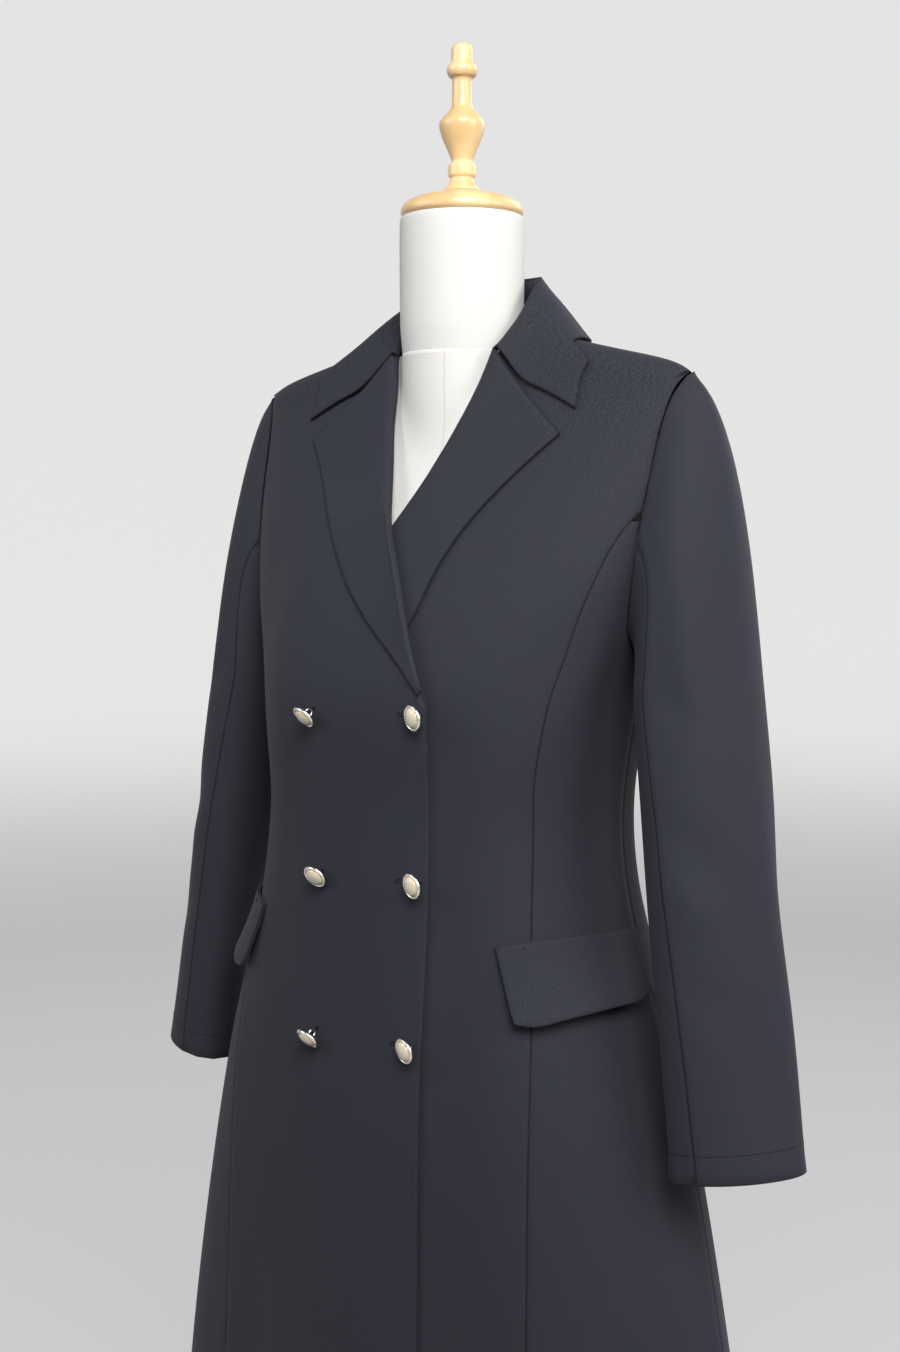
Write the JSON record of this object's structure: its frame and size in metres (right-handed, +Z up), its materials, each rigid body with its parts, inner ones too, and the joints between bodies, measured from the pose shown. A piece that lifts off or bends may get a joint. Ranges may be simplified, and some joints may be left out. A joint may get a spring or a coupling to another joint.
{
  "type": "trench coat on a dress form",
  "caption": "Double-breasted princess-seam long coat with notched lapels and pocket flaps, resting on a limbless dress form with a wooden neck cap and a round metal stand.",
  "frame": {"origin": "on the floor, under the axis of the pole", "axes": "+Z up, the coat's front faces -Y, and the wearer's left is +X"},
  "size_m": [0.611, 0.35, 1.6193],
  "materials": {
    "coat_cloth": "smooth matte charcoal suiting with a soft sheen",
    "form_cover": "off-white cotton cover",
    "pale_wood": "satin varnished pale wood",
    "button_metal": "polished metal, milled rim",
    "button_ivory": "glossy ivory enamel",
    "stand_metal": "satin"
  },
  "bodies": {
    "root": {"right_front": "coat_cloth", "left_front": "coat_cloth", "right_side_front": "coat_cloth", "left_side_front": "coat_cloth", "right_side_back": "coat_cloth", "left_side_back": "coat_cloth", "right_back": "coat_cloth", "left_back": "coat_cloth", "right_upper_sleeve": "coat_cloth", "left_upper_sleeve": "coat_cloth", "right_under_sleeve": "coat_cloth", "left_under_sleeve": "coat_cloth", "right_lapel": "coat_cloth", "left_lapel": "coat_cloth", "collar": "coat_cloth", "right_pocket_flap": "coat_cloth", "left_pocket_flap": "coat_cloth", "button_left_top_rim": "button_metal", "button_left_middle_rim": "button_metal", "button_left_bottom_rim": "button_metal", "button_right_top_rim": "button_metal", "button_right_middle_rim": "button_metal", "button_right_bottom_rim": "button_metal", "button_left_top_dome": "button_ivory", "button_left_middle_dome": "button_ivory", "button_left_bottom_dome": "button_ivory", "button_right_top_dome": "button_ivory", "button_right_middle_dome": "button_ivory", "button_right_bottom_dome": "button_ivory", "form_torso": "form_cover", "form_neck": "form_cover", "neck_cap": "pale_wood", "finial": "pale_wood", "pole": "stand_metal", "base": "stand_metal"}
  },
  "joints": []
}
